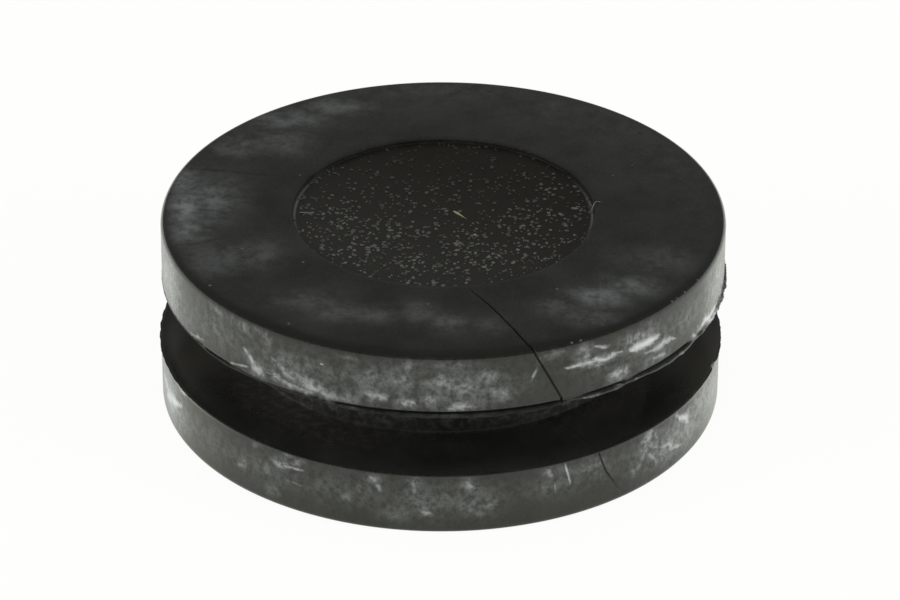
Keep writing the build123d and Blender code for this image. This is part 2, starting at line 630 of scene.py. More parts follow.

# Soft clouds of chalk on the rims: angle, height, half length, half height, strength. The strongest, at 68
# to 76 degrees to either side, are partly chalk and partly a painted highlight where the rims turn away.
rim_chalk_and_highlight_clouds = [
    (-12, 8.2, 3.2, 1.3, 0.42), (3, 8.1, 3.2, 1.3, 0.48), (-27, 8.2, 3, 1.1, 0.38), (-36, 8, 3, 1.1, 0.34),
    (36, 8.3, 2.6, 1.2, 0.3), (47, 8.2, 3.5, 1.3, 0.36), (-52, 8.3, 3.5, 1.3, 0.34), (-20, 2, 4, 1.2, 0.32),
    (-2, 1.9, 3, 1.2, 0.42), (7, 1.9, 1.8, 1.1, 0.42), (24, 2.2, 2.6, 1, 0.38), (33, 2.2, 3, 1, 0.34),
    (-38, 1.8, 3.6, 1.2, 0.34), (52, 2, 3, 1.2, 0.64), (-55, 1.8, 3.5, 1.2, 0.34),
    (-76, 8.3, 2.4, 1.8, 1.35), (-71, 7.4, 0.7, 0.9, 1.0), (-64, 7.6, 1.8, 0.9, 0.4),
    (-50, 9.4, 0.8, 0.35, 0.5), (-46.2, 9.3, 0.25, 0.4, 0.45), (-42, 9.2, 0.7, 0.45, 0.5),
    (-39.5, 9.45, 0.35, 0.25, 0.45), (-37, 9.1, 0.5, 0.45, 0.5), (-42.3, 7.95, 0.4, 0.5, 0.5),
    (-39.4, 7.3, 0.7, 0.5, 0.7), (-35.8, 8.0, 0.6, 0.4, 0.45), (-32.5, 8.3, 1.1, 0.6, 0.52),
    (-29.5, 7.95, 1.1, 0.55, 0.52), (-26, 7.45, 1.1, 0.5, 0.75), (-23, 7.15, 0.8, 0.4, 0.75),
    (-32.5, 7.2, 1.0, 0.35, 0.6), (-18.8, 7.15, 0.9, 0.4, 0.55), (-18.7, 8.3, 1.3, 0.7, 0.4),
    (-18.5, 9.4, 0.6, 0.2, 0.4), (-14, 8.4, 0.9, 0.9, 0.55), (-13, 7.5, 0.9, 0.5, 0.6),
    (-7.3, 9.2, 0.8, 0.6, 0.55), (-7.5, 8.4, 0.8, 0.6, 0.6), (-6.8, 7.3, 0.7, 0.45, 0.75),
    (-2.3, 7.4, 0.7, 0.5, 0.7), (0, 8.5, 1.0, 0.6, 0.68), (3.5, 8.2, 1.3, 0.8, 0.65),
    (3.8, 7.25, 1.0, 0.3, 0.8), (2, 9.4, 1.6, 0.35, 0.4), (8.5, 8.6, 0.9, 0.7, 0.65),
    (11, 7.8, 0.8, 0.5, 0.65), (22, 9.4, 1.1, 0.5, 0.4), (29, 9.1, 0.7, 0.55, 0.7),
    (33, 8.45, 1.8, 0.45, 0.5), (37.3, 7.25, 0.75, 0.5, 0.7), (42.5, 8.85, 1.4, 0.6, 0.72),
    (48.5, 7.8, 1.2, 0.4, 0.6), (47.5, 7.15, 1.1, 0.35, 0.62), (58, 8.3, 2.4, 1.0, 0.4),
    (61, 6.85, 0.4, 0.25, 0.8), (69, 7.0, 1.8, 0.45, 0.95), (68, 9.2, 0.7, 0.5, 0.75),
    (76, 8.2, 2.6, 1.7, 1.25), (69, 7.0, 1.6, 0.4, 1.4), (-76, 1.6, 2.8, 1.5, 1.35),
    (-66, 3.0, 0.7, 0.2, 0.7), (-66, 0.7, 0.8, 0.4, 0.45), (-62, 1.1, 0.5, 0.5, 0.45),
    (-43.3, 1.6, 1.1, 0.5, 0.35), (-37, 1.75, 0.4, 0.6, 0.5), (-35.8, 0.9, 0.6, 0.5, 0.45),
    (-40, 3.0, 0.4, 0.25, 0.45), (-33.5, 2.5, 0.7, 0.45, 0.65), (-31.8, 3.05, 0.4, 0.2, 0.6),
    (-29, 2.9, 0.5, 0.4, 0.5), (-19.3, 1.55, 0.5, 0.4, 0.55), (-15.5, 2.2, 1.0, 0.7, 0.42),
    (-13, 2.8, 0.6, 0.5, 0.62), (-5.3, 2.8, 0.4, 0.6, 0.65), (-6.4, 1.9, 0.4, 0.3, 0.6),
    (-3, 1.7, 1.1, 0.8, 0.58), (-3, 1.15, 0.6, 0.2, 0.65), (-8.5, 1.1, 1.1, 0.6, 0.48),
    (5.5, 2.7, 0.6, 0.6, 0.6), (6, 1.6, 1.0, 0.7, 0.55), (9, 1.6, 0.7, 0.7, 0.58),
    (7.2, 1.1, 0.6, 0.3, 0.6), (2.3, 1.7, 0.3, 0.6, 0.42), (21.2, 2.9, 0.5, 0.4, 0.55),
    (20.8, 1.95, 0.5, 0.4, 0.55), (31, 2.5, 1.7, 0.7, 0.48), (24.8, 2.6, 0.6, 0.6, 0.48),
    (48, 1.5, 0.5, 0.7, 0.5), (52.3, 1.05, 0.5, 0.4, 0.65), (46, 2.7, 0.6, 0.7, 0.65),
    (58, 2.55, 0.9, 0.5, 1.0), (58, 1.7, 3.4, 1.4, 0.85), (68, 2.4, 1.6, 0.9, 0.95),
    (76, 1.8, 2.4, 1.5, 1.3), (100, 8.3, 3.0, 0.9, 0.35), (128, 7.9, 2.4, 0.8, 0.4),
    (160, 8.4, 3.2, 0.8, 0.3), (195, 7.8, 2.6, 0.9, 0.45), (232, 8.3, 2.8, 0.9, 0.35),
    (262, 8.0, 2.0, 0.8, 0.3), (104, 1.8, 2.2, 0.8, 0.35), (140, 2.2, 2.8, 0.7, 0.3),
    (178, 1.5, 2.4, 0.9, 0.4), (214, 2.1, 2.0, 0.8, 0.35), (250, 1.7, 2.6, 0.9, 0.3),
]

# Pale bloom on the upper face: place from the axis, half length, half width, strength
upper_face_bloom = [
    (-5.5, 11.0, 1.8, 1.0, 0.45), (-8, 9.5, 1.9, 1.1, 0.5), (-8.3, 7.0, 1.6, 1.4, 0.35),
    (-10.5, 6.5, 1.3, 1.3, 0.35), (-13.1, 2.7, 0.9, 1.5, 0.75), (-12.8, 0.3, 0.9, 2.0, 0.9),
    (-11.7, 0.9, 1.5, 2.4, 0.55), (-12.5, -2, 1.1, 1.6, 0.6), (-11, -5, 1.6, 1.6, 0.33),
    (-9, -4.5, 1.3, 1.5, 0.28), (-6.5, -9, 1.8, 1.0, 0.27), (-5, -10, 1.6, 0.9, 0.3),
    (-3.5, -10.3, 1.5, 0.8, 0.3), (-1.2, -10, 0.9, 1.0, 0.32), (0.3, -11, 0.8, 0.9, 0.42),
    (2.3, -11.3, 0.8, 0.8, 0.27), (5.5, -9.5, 1.2, 0.9, 0.3), (7.5, -8.5, 1.4, 1.0, 0.68),
    (9, -7.5, 1.5, 1.0, 0.52), (7, -10.5, 1.4, 0.8, 0.35), (10.5, -5, 2.0, 1.5, 0.2),
    (5.5, 10.8, 1.0, 1.0, 0.2), (0, 12.8, 7, 1.2, 0.16), (9.5, 9, 3, 2.5, 0.1),
]

# Bloom that the whole upper face gains towards its outer edge and the back
bloom_haze = 0.085

# Dark scratches on the upper face: both ends from the axis, width, strength
face_scratches = [
    (-12.5, -3.7, -11, -3, 0.3, 0.5), (-13, 1.6, -12.2, 1.5, 0.3, 0.6),
    (-11.6, -1.9, -11.2, -1.9, 0.3, 0.6),
]

# Painted highlights at the foot of the recess, as pale crescents: angle, half spread, strength
recess_highlight_crescents = [(-98, 20, 0.125), (93, 18, 0.125)]
crescent_distance = 7.38
crescent_half_width = 0.1

# Thin film of bloom on the membrane, towards the front and the left
membrane_film = 0.0135


def unseen_scuffs(low, high, seed):
    """Scuffs of the same kind as the others, between two heights."""
    draw = np.random.default_rng(seed)
    scuffs = []
    for _ in range(unseen_count):
        angle = draw.uniform(unseen_start, unseen_end)
        height = draw.uniform(low + 0.3, high - 0.3)
        run = draw.uniform(0.2, 6.0)
        rise = draw.normal(0, 0.35)
        width = draw.uniform(0.1, 0.5)
        strength = 0.2 + 0.5 * draw.uniform(0, 1) ** 2
        end = min(max(height + rise, low), high)
        scuffs.append((angle, height, angle + run, end, width, strength))
    return scuffs


def all_scuffs():
    unseen_above = unseen_scuffs(groove_top_mm + 0.3, top_mm - 0.5, seed=11)
    unseen_below = unseen_scuffs(0.4, groove_bottom_mm - 0.3, seed=12)
    return [Scuff(*row) for row in upper_rim_scuffs + lower_rim_scuffs + unseen_above + unseen_below]


def is_fine(scuff):
    """Fine scuffs get a strip of mesh of their own. Wider ones are carried by the body's points."""
    return scuff.width <= fine_scuff_width


def stroke_cover(x, y, start, end, width):
    """How far points lie under a soft stroke: 1 along its middle, 0 past its faint edge.

    A long stroke tapers towards its ends.
    """
    least_length = 1e-6
    most_taper = 0.64
    edge_reach = 2.2
    edge_strength = 0.32
    start = np.array(start)
    way = end - start
    length = max(math.hypot(*way), least_length)
    share = np.clip(((x - start[0]) * way[0] + (y - start[1]) * way[1]) / length ** 2, 0, 1)
    away = np.hypot(x - start[0] - share * way[0], y - start[1] - share * way[1])
    taper = most_taper / 2 * min(max(length / width - 1, 0), 2)
    reach = away / (width * (1 - taper * (2 * share - 1) ** 2))
    near = np.clip(1 - reach, 0, 1)
    edge = np.clip(1 - reach / edge_reach, 0, 1)
    return np.maximum(near * near * (3 - 2 * near), edge_strength * edge * edge)


def wander(places, scale, amount):
    """Moves of a smooth noise field at places."""
    noise.seed_set(wander_seed)
    moves = [noise.noise_vector(Vector(spot) / scale) for spot in places.tolist()]
    return np.array(moves) * amount


def bell(away):
    return np.exp(-away * away)


def turn_from(start_angle, angle):
    """Degrees from one angle to others, the short way round."""
    return (angle - start_angle + 180) % 360 - 180


BodyPoints = namedtuple("BodyPoints", "places x y z off_axis angle")


def body_points(mesh):
    """The mesh's points, with their distance from the axis and their angle."""
    flat = np.empty(len(mesh.vertices) * 3, np.float32)
    mesh.vertices.foreach_get("co", flat)
    places = flat.reshape(-1, 3) / mm
    x, y, z = places.T
    return BodyPoints(places, x, y, z, np.hypot(x, y), np.degrees(np.arctan2(x, -y)))


def rim_chalk_and_highlights(points):
    """Chalky clouds and scuffs on the rims, with painted highlights where the rims turn away at their far
    ends. They fade at the upper edge and keep off the lower flange's top.
    """
    rim_layer = 0.3
    edge_gap = 0.12
    edge_fade = 0.25
    groove_gap = 0.05
    on_rim = np.flatnonzero(points.off_axis > rim_mm - rim_layer)
    places = points.places[on_rim]
    moves = sum(wander(places, scale, amount) for scale, amount in edge_wander)
    angle = points.angle[on_rim] + moves[:, 0] / degree_mm
    height = places[:, 2] + moves[:, 2]

    def along_from(start_angle):
        return turn_from(start_angle, angle) * degree_mm

    def stroke(scuff):
        start = (0.0, scuff.start_height)
        end = ((scuff.end_angle - scuff.start_angle) * degree_mm, scuff.end_height)
        along = along_from(scuff.start_angle)
        return scuff.strength * stroke_cover(along, height, start, end, scuff.width)

    cloud = np.zeros(len(on_rim))
    for cloud_angle, cloud_height, half_length, half_height, strength in rim_chalk_and_highlight_clouds:
        away = np.hypot(along_from(cloud_angle) / half_length, (height - cloud_height) / half_height)
        cloud = np.maximum(cloud, strength * bell(away))
    strokes = np.zeros(len(on_rim))
    for scuff in all_scuffs():
        if not is_fine(scuff):
            strokes = np.maximum(strokes, stroke(scuff))
    cover = chalk_haze + cloud_share * cloud ** chalk_power + strokes ** chalk_power
    for streak in clean_streaks:
        cover = cover * (1 - stroke(Scuff(*streak)))
    lower_front = (height < groove_middle_mm) & (np.abs(angle) < lower_front_spread)
    cover = np.where(lower_front, lower_rim_share * cover, cover)
    chalk = np.zeros(len(points.z))
    chalk[on_rim] = cover * np.clip((top_mm - edge_gap - points.z[on_rim]) / edge_fade, 0, 1)
    chalk[(points.z > groove_bottom_mm - groove_gap) & (points.z < groove_middle_mm)] = 0
    return chalk


def membrane_film_and_highlights(points):
    """The film on the membrane, and the painted highlight crescents at its edge."""
    lean = (0.8 * points.y + 0.45 * points.x) / 9
    chalk = membrane_film * np.clip(0.45 - lean, 0, 1)
    ring = np.clip(1 - np.abs(points.off_axis - crescent_distance) / crescent_half_width, 0, 1)
    for crescent_angle, spread, strength in recess_highlight_crescents:
        away = turn_from(crescent_angle, points.angle) / spread
        chalk = np.maximum(chalk, strength * ring * bell(away))
    return chalk


def on_upper_face(points):
    return (points.z > top_mm - 0.15) & (points.off_axis > bore_mm)


def face_bloom(points):
    """The haze and the patches of bloom on the upper face."""
    outer = np.clip((points.off_axis - bore_mm) / 5, 0, 1)
    bloom = bloom_haze * outer * np.clip(0.55 + points.y / 20, 0, 1)
    for place_x, place_y, half_length, half_width, strength in upper_face_bloom:
        away = np.hypot((points.x - place_x) / half_length, (points.y - place_y) / half_width)
        bloom = np.maximum(bloom, strength * bell(away))
    return np.where(on_upper_face(points), bloom, 0)


def edge_shade_and_scratches(points):
    """Painted shade along the rounded edge of the upper face, and the dark scratches on the face."""
    # Painted shade along the rounded upper edge
    rounding = upper_edge_radius / mm
    inset = 0.35 * rounding
    away = np.hypot(points.off_axis - (rim_mm - inset), points.z - (top_mm - inset))
    shade = np.clip(1 - away / (0.9 * rounding), 0, 1)
    for start_x, start_y, end_x, end_y, width, strength in face_scratches:
        cover = stroke_cover(points.x, points.y, (start_x, start_y), (end_x, end_y), width)
        shade = np.maximum(shade, np.where(on_upper_face(points), strength * cover, 0))
    return shade


def groove_dust_and_light(points):
    """Painted light in the groove, broken up in dusty specks: spots on the core and spots and a film on the
    lower flange.

    It is brightest at two angles, to the left and to the right.
    """
    at_left = bell((points.angle + 44) / 26)
    at_right = bell((points.angle - 50) / 24)
    at_sides = bell((np.abs(points.angle) - 80) / 17)
    above_foot = np.clip((points.z - groove_bottom_mm + 0.15) / 1.2, 0, 1)
    near_core = np.clip((rim_mm - 0.8 - points.off_axis) / 2.5, 0, 1)
    core_light_spots = (0.4 + 0.9 * at_left + at_right) * above_foot
    flange_light_spots = 0.4 * near_core * at_left
    # The film also lightens the lower flange's top towards the sides, as painted light
    flange_light_film = 0.03 + 0.34 * at_sides + 0.13 * near_core * (at_left + at_right)
    on_core = points.off_axis < core_radius / mm + 0.1
    return np.where(on_core, core_light_spots, flange_light_spots), np.where(on_core, 0.0, flange_light_film)


def mark_wear_and_painted_light(mesh):
    """Writes what each point of the body carries: chalky scuffs with painted highlights, bloom, painted
    shade with scratches, painted light in the groove, and dullness.
    """
    points = body_points(mesh)
    z = points.z
    off_axis = points.off_axis
    on_membrane = (z > membrane_top / mm - 0.1) & (off_axis < bore_mm)
    in_groove = (z > groove_bottom_mm - 0.02) & (z < groove_top_mm + 0.02) & (off_axis < rim_mm - 0.1)
    at_crease = (z > groove_top_mm - 0.2) & (z < groove_top_mm + 0.2)
    in_crease = at_crease & (off_axis < rim_mm - 0.06) & (off_axis > rim_mm - 0.3)
    on_lip = (z > groove_top_mm - 0.6) & (z < groove_top_mm + 0.06) & (off_axis > rim_mm - 0.2)

    chalk = np.where(on_membrane, membrane_film_and_highlights(points), rim_chalk_and_highlights(points))
    # Painted shade fills the crease above the lip, besides the painted shade at the edge and the scratches
    shade = np.maximum(edge_shade_and_scratches(points), in_crease)
    for name, amount in (("chalk", chalk), ("bloom", face_bloom(points)), ("shade", shade)):
        carry(mesh, name, np.clip(amount, 0, 1))
    # Painted light in the groove, broken up in dusty specks
    for name, amount in zip(("spots", "film"), groove_dust_and_light(points)):
        carry(mesh, name, np.where(in_groove & ~in_crease, amount, 0.0))
    # The lip is dull up to a little right of the front
    carry(mesh, "dull", np.where(on_lip, np.clip((30 - points.angle) / 8, 0, 1), 0.0))


# Strips of smeared rubber for the fine scuffs
scuff_inputs = {
    "Rim Radius": flange_radius,
    "Crown": 0.014 * mm,
    "Depth": 0.03 * mm,
    "Wander": 0.2 * mm,
    "Groove Middle": groove_middle,
    "Mould Shift": mould_shift,
}


def fine_scuff_mesh():
    """One point for each fine scuff, on the unrolled rim, with the size and tilt that it carries."""
    degree = math.radians(1) * flange_radius
    fine = Scuff(*np.transpose([scuff for scuff in all_scuffs() if is_fine(scuff)]))
    run = (fine.end_angle - fine.start_angle) * degree
    rise = (fine.end_height - fine.start_height) * mm
    along = (fine.start_angle + fine.end_angle) / 2 * degree
    height = (fine.start_height + fine.end_height) / 2 * mm
    mesh = new_mesh("fine_scuff_places", [(a, 0, h) for a, h in zip(along, height)])
    carry(mesh, "half_length", np.hypot(run, rise) / 2 + fine.width * mm)
    carry(mesh, "half_width", fine.width * mm)
    carry(mesh, "tilt", np.arctan2(rise, run))
    carry(mesh, "strength", fine.strength ** chalk_power)
    return mesh


def fine_scuffs(w, given):
    """Lays a thin strip of smeared rubber on the rim for each given point, by rolling a flat one up."""
    block = {"Size": (2.0, 2.0, 2.0), "Vertices X": 25, "Vertices Y": 2, "Vertices Z": 7}
    strip = w.geometry("MeshCube", block)
    x, y, z = w.parts(position(w))
    for name, number in (("along", x), ("across", z), ("inner", y > 0)):
        strip = store(w, strip, name, number)
    strips = w.geometry("InstanceOnPoints", {
        "Points": given["Mesh"], "Instance": strip,
        "Rotation": w.vector(0, -named(w, "tilt"), 0),
        "Scale": w.vector(named(w, "half_length"), 1, named(w, "half_width"))})
    real = w.geometry("RealizeInstances", {"Geometry": strips})
    along = named(w, "along")
    across = named(w, "across")
    inside = 1 - across * across
    taper = 1 - w.math("POWER", w.math("ABSOLUTE", along), 3)
    faded = store(w, real, "chalk", inside * inside * taper * named(w, "strength"))
    arc, _, height = w.parts(position(w))
    sway = (w.noise(position(w), 900.0, 2) - 0.5) * given["Wander"]
    angle = arc / given["Rim Radius"]
    crown = (inside * taper - 0.25) * given["Crown"]
    far = given["Rim Radius"] + (crown - named(w, "inner") * given["Depth"])
    shift = given["Mould Shift"] * (height < given["Groove Middle"])
    rolled = w.vector(far * w.math("SINE", angle) + shift, far * -w.math("COSINE", angle), height + sway)
    on_rim = w.geometry("SetPosition", {"Geometry": faded, "Position": rolled})
    return finished(w, on_rim, given["Finish"])


# Specks on the membrane, and dust on the upper face

# Places of single flecks on the upper face and its rounded edge, in millimetres from the axis
flecks = [
    (10, 8.2), (10.3, 6.2), (9.5, 4.7), (8.5, 3.6), (-7.2, 3.5), (-11.2, -7.6), (-9.8, -4), (-0.7, -9.3),
    (-7.3, -11.2), (-6.8, -5.3), (5.5, -7.8), (6.11, -12.52), (6.54, -12.3), (10.98, -8.58), (11.62, -7.69),
    (12.3, -6.54),
]
speck_inputs = {
    "Membrane Radius": bore_radius - 2 * recess_foot_radius,
    "Membrane Top": membrane_top,
    "Specks": 2300.0,
    "Smallest": 0.046 * mm,
    "Largest": 0.12 * mm,
    "Seed": 5,
}


def fleck_mesh():
    places = []
    for x, y in flecks:
        past_flat = max(math.hypot(x, y) * mm - (flange_radius - upper_edge_radius), 0)
        drop = upper_edge_radius - math.sqrt(upper_edge_radius ** 2 - past_flat ** 2)
        places.append((x * mm, y * mm, upper_face - drop))
    return new_mesh("fleck_places", places)


def speckled_membrane(w, given):
    """Scatters flat grains on the membrane, most towards the front, and one on each given point."""
    radius = given["Membrane Radius"]
    disc = w.geometry("MeshCircle", {"Vertices": 96, "Radius": radius}, fill_type="NGON")
    raised = w.vector(0, 0, given["Membrane Top"])
    lifted = w.geometry("Transform", {"Geometry": disc, "Translation": raised})
    density = given["Specks"] / (radius * radius * math.pi)
    scattered = {"Mesh": lifted, "Density": density, "Seed": given["Seed"]}
    spread = w.geometry("DistributePointsOnFaces", scattered)

    def chance(low, high, offset):
        inputs = {"Min": low, "Max": high, "Seed": given["Seed"] + offset}
        return w.value("FunctionNodeRandomValue", inputs, data_type="FLOAT")

    x, y, _ = w.parts(position(w))
    lean = y - w.math("ABSOLUTE", x) * 0.4
    towards_front = w.ramp(lean, radius * 0.9, radius * -0.85, 0.3, 1.0)
    brighter = w.ramp(lean, radius * 0.9, radius * -0.75, 0.1, 1.0)
    clumps = w.ramp(w.noise(position(w), 700.0, 2), 0.36, 0.6, 0.4, 1.0)
    left_out = chance(0.0, 1.0, 1) > towards_front * clumps
    unwanted = {"Geometry": spread, "Selection": left_out}
    thinned = w.geometry("DeleteGeometry", unwanted, domain="POINT")
    both = w.node("GeometryNodeJoinGeometry")
    w.feed(both, "Geometry", thinned)
    w.feed(both, "Geometry", w.geometry("MeshToPoints", {"Mesh": given["Mesh"]}))
    girth_share = w.math("POWER", chance(0.0, 1.0, 2), 1.8)
    girth = w.blend(girth_share, given["Smallest"], given["Largest"])
    grains = w.geometry("InstanceOnPoints", {
        "Points": Value(w, both.outputs[0]),
        "Instance": w.geometry("MeshIcoSphere", {"Radius": 1.0, "Subdivisions": 1}),
        "Rotation": w.vector(0, 0, chance(0.0, full_turn, 4)),
        "Scale": w.vector(girth * chance(0.8, 1.9, 3), girth, girth * 0.7)})
    toned = store(w, grains, "tone", chance(0.2, 1.0, 5) * brighter, domain="INSTANCE")
    return finished(w, toned, given["Finish"])


# Profile of a chip: shares of its length with shares of its width, and its ring as sides and rises
chip_profile = [(0.0, 0.25), (0.12, 0.8), (0.3, 1.0), (0.55, 0.6), (0.8, 0.3), (1.0, 0.08)]
chip_ring = [(-1, 0), (-0.6, 1), (0.5, 0.8), (1, 0)]
chip_sunk = 0.01 * mm


def chip(name, start, end, width, height, finish):
    """A splinter that lies on the membrane, thick at its start and thin at its end. Sizes in millimetres."""
    start = Vector(start) * mm
    way = Vector(end) * mm - start
    side = Vector((-way.y, way.x)).normalized()
    points = []
    for along, breadth in chip_profile:
        middle = start + way * along
        half = side * (width * mm) / 2 * breadth
        for offset, rise in chip_ring:
            spot = middle + half * offset
            points.append((spot.x, spot.y, membrane_top + rise * (height * mm) * breadth - chip_sunk))
    ring = len(chip_ring)
    last_ring = len(points) - ring
    caps = [tuple(range(ring)), tuple(reversed(range(last_ring, len(points))))]
    faces = []
    for first in range(0, last_ring, ring):
        for j in range(ring):
            a = first + j
            b = first + (j + 1) % ring
            faces.append((a, a + ring, b + ring, b))
    mesh = new_mesh(name, points, faces=faces + caps)
    mesh.materials.append(finish)
    return place(name, mesh)


# Routes of fibres at the edge of the recess and on the membrane, in millimetres
curled_route = [
    (7.39, 0.3, 9.88), (7.42, 0.45, 9.98), (7.49, 0.66, 10.04), (7.6, 0.82, 10.06), (7.7, 0.84, 10.05),
    (7.8, 0.78, 10.03),
]
straight_route = [
    (-7.14, 0.05, 9.79), (-6.9, 0.09, 9.78), (-6.65, 0.06, 9.77), (-6.4, 0.08, 9.76),
]


def lint(name, route, radius, finish):
    """A short fibre, as a tube along a smooth line."""
    curve = bpy.data.curves.new(name + "_line", "CURVE")
    curve.dimensions = "3D"
    curve.bevel_depth = radius
    curve.bevel_resolution = 2
    curve.use_fill_caps = True
    spline = curve.splines.new("NURBS")
    spline.points.add(len(route) - 1)
    for point, (x, y, z) in zip(spline.points, route):
        point.co = (x * mm, y * mm, z * mm, 1)
    spline.order_u = 3
    spline.use_endpoint_u = True
    line = bpy.data.objects.new(name + "_line", curve)
    bpy.context.scene.collection.objects.link(line)
    mesh = evaluated_mesh(line)
    bpy.data.objects.remove(line)
    bpy.data.curves.remove(curve)
    weld = bmesh.new()
    weld.from_mesh(mesh)
    bmesh.ops.remove_doubles(weld, verts=weld.verts, dist=weld_distance)
    weld.to_mesh(mesh)
    weld.free()
    mesh.materials.clear()
    mesh.materials.append(finish)
    mesh.polygons.foreach_set("use_smooth", [True] * len(mesh.polygons))
    return place(name, mesh)


# Finishes

# Coats on the rubber: bloom, painted light in the groove, chalk with painted highlights, painted shade with
# scratches
bloom_colour = (0.125, 0.133, 0.132, 1)
# Painted light in the groove, in a dusty colour
dust_and_light_colour = (0.105, 0.098, 0.086, 1)
# Chalk, and the painted highlights at the rims' far ends
chalk_and_highlight_colour = (0.68, 0.70, 0.69, 1)
# Painted shade, also the colour of the scratches and hair lines
shade_and_scratch_colour = (0.009, 0.009, 0.0075, 1)
# Film on the membrane, and the painted highlights at the foot of the recess
membrane_film_and_highlight_colour = (0.68, 0.70, 0.66, 1)

# The reflection of the floor is a little warmer than the floor itself
floor_tint = (0.98, 1.0, 0.9, 1)
membrane_tint = (1.0, 0.97, 0.8, 1)


def grain_group():
    """Mottling of a moulded surface and the height of its fine grain."""
    inputs = {"Position": "Vector", "Mottle Scale": "Float", "Grain Scale": "Float"}
    w, given = new_tree("ShaderNodeTree", "moulded_grain", inputs, {"Mottle": "Float", "Height": "Float"})
    cloud = w.noise(given["Position"], given["Mottle Scale"], 4, 0.6)
    fine = w.noise(given["Position"], given["Grain Scale"], 3, 0.6)
    mottle = w.ramp(cloud * 0.55 + fine * 0.45, 0.34, 0.66, 0, 1)
    w.node("NodeGroupOutput", {"Mottle": mottle, "Height": fine})
    return w.tree


def chalk_group():
    """Breaks soft marks up into a chalky smear."""
    inputs = {"Position": "Vector", "Cover": "Float", "Smear Scale": "Float"}
    w, given = new_tree("ShaderNodeTree", "chalky_smear", inputs, {"Chalk": "Float"})
    cover = given["Cover"]
    x, y, z = w.parts(given["Position"])
    tall = w.noise(w.vector(x, y, z * 0.5), given["Smear Scale"], 4, 0.6)
    blotches = w.noise(given["Position"], given["Smear Scale"], 5, 0.7)
    broken = w.ramp(blotches * 0.75 + tall * 0.25, 0.41, 0.6, 0.15, 1.8, smooth=False)
    chalk = w.math("MULTIPLY", cover, w.blend(cover, broken, 1.0), clamp=True)
    w.node("NodeGroupOutput", {"Chalk": chalk})
    return w.tree


def cleared(owner):
    """The wiring of a material or a world, with no nodes in it yet."""
    owner.use_nodes = True
    owner.node_tree.nodes.clear()
    return Wiring(owner.node_tree)


def new_material(name):
    material = bpy.data.materials.new(name)
    return material, cleared(material)


def principled(w, inputs):
    w.node("ShaderNodeOutputMaterial", {"Surface": w.value("ShaderNodeBsdfPrincipled", inputs)})


def moulded(w, grain, place_on_object, mottle_scale, grain_scale):
    inputs = {"Position": place_on_object, "Mottle Scale": mottle_scale, "Grain Scale": grain_scale}
    return w.values("ShaderNodeGroup", inputs, node_tree=grain)


def carried(w, name):
    """A number that the mesh carries under this name."""
    return w.values("ShaderNodeAttribute", attribute_name=name, attribute_type="GEOMETRY")["Fac"]


def bump(w, height, depth, strength):
    return w.value("ShaderNodeBump", {"Height": height, "Distance": depth, "Strength": strength})


def object_position(w):
    return w.values("ShaderNodeTexCoord")["Object"]


def flange_rubber(grain, chalky):
    material, w = new_material("flange_rubber")
    spot = object_position(w)
    surface = moulded(w, grain, spot, 420.0, 7000.0)
    # Chalk, with painted highlights at the rims' far ends
    smear = {"Position": spot, "Cover": carried(w, "chalk"), "Smear Scale": 2800.0}
    chalk = w.value("ShaderNodeGroup", smear, node_tree=chalky)
    haze = w.ramp(w.noise(spot, 900.0, 8, 0.78), 0.36, 0.64, 0.3, 1.3)
    bloom = w.math("MULTIPLY", carried(w, "bloom"), haze, clamp=True)
    specks = w.ramp(w.noise(spot, 2400.0, 4, 0.65), 0.42, 0.7, 0.2, 1.3)
    # Painted light in the groove, broken up in dusty specks
    dust_and_light = carried(w, "spots") * specks + carried(w, "film")
    # Painted shade at the upper edge and in the crease, with the real scratches and hair lines, in one dark
    # coat
    dark = w.math("MAXIMUM", carried(w, "shade"), carried(w, "line"), clamp=True)
    colour = w.colour(surface["Mottle"], (0.0085, 0.009, 0.0078, 1), (0.018, 0.0185, 0.0165, 1))
    coats = [(bloom, bloom_colour), (dust_and_light, dust_and_light_colour), (chalk, chalk_and_highlight_colour), (dark, shade_and_scratch_colour)]
    for cover, coat in coats:
        colour = w.colour(cover, colour, coat)
    principled(w, {
        "Base Color": colour,
        "Roughness": w.blend(chalk, w.blend(surface["Mottle"], 0.1, 0.18), 0.8),
        "Specular IOR Level": w.blend(carried(w, "dull"), 0.43, 0.1),
        "Specular Tint": floor_tint,
        "Normal": bump(w, surface["Height"], 0.02 * mm, 0.2),
    })
    return material


def membrane_rubber(grain):
    material, w = new_material("membrane_rubber")
    surface = moulded(w, grain, object_position(w), 700.0, 9000.0)
    plain = w.colour(surface["Mottle"], (0.0036, 0.0031, 0.0023, 1), (0.0082, 0.0073, 0.0056, 1))
    principled(w, {
        # Film of bloom, and painted highlights at the foot of the recess
        "Base Color": w.colour(carried(w, "chalk"), plain, membrane_film_and_highlight_colour),
        "Roughness": w.blend(surface["Mottle"], 0.4, 0.55),
        "Specular IOR Level": 0.5,
        "Specular Tint": membrane_tint,
        "Normal": bump(w, surface["Height"], 0.03 * mm, 0.5),
    })
    return material


def loose_finish(name, grain, mottle_scale, dark, pale, roughness, specular, toned=False):
    """A plain mottled finish. Where it is toned, each grain also carries a tone of its own."""
    material, w = new_material(name)
    share = moulded(w, grain, object_position(w), mottle_scale, 4 * mottle_scale)["Mottle"]
    if toned:
        share = carried(w, "tone") * w.ramp(share, 0, 1, 0.7, 1.0)
    colour = w.colour(share, (*dark, 1), (*pale, 1))
    principled(w, {"Base Color": colour, "Roughness": roughness, "Specular IOR Level": specular})
    return material


def pale_speck(grain):
    dark = (0.018, 0.017, 0.014)
    return loose_finish("pale_speck", grain, 6000.0, dark, (0.104, 0.106, 0.096), 0.8, 0.3, toned=True)


def pale_splinter(grain):
    return loose_finish("pale_splinter", grain, 5000.0, (0.17, 0.15, 0.085), (0.32, 0.29, 0.18), 0.6, 0.4)


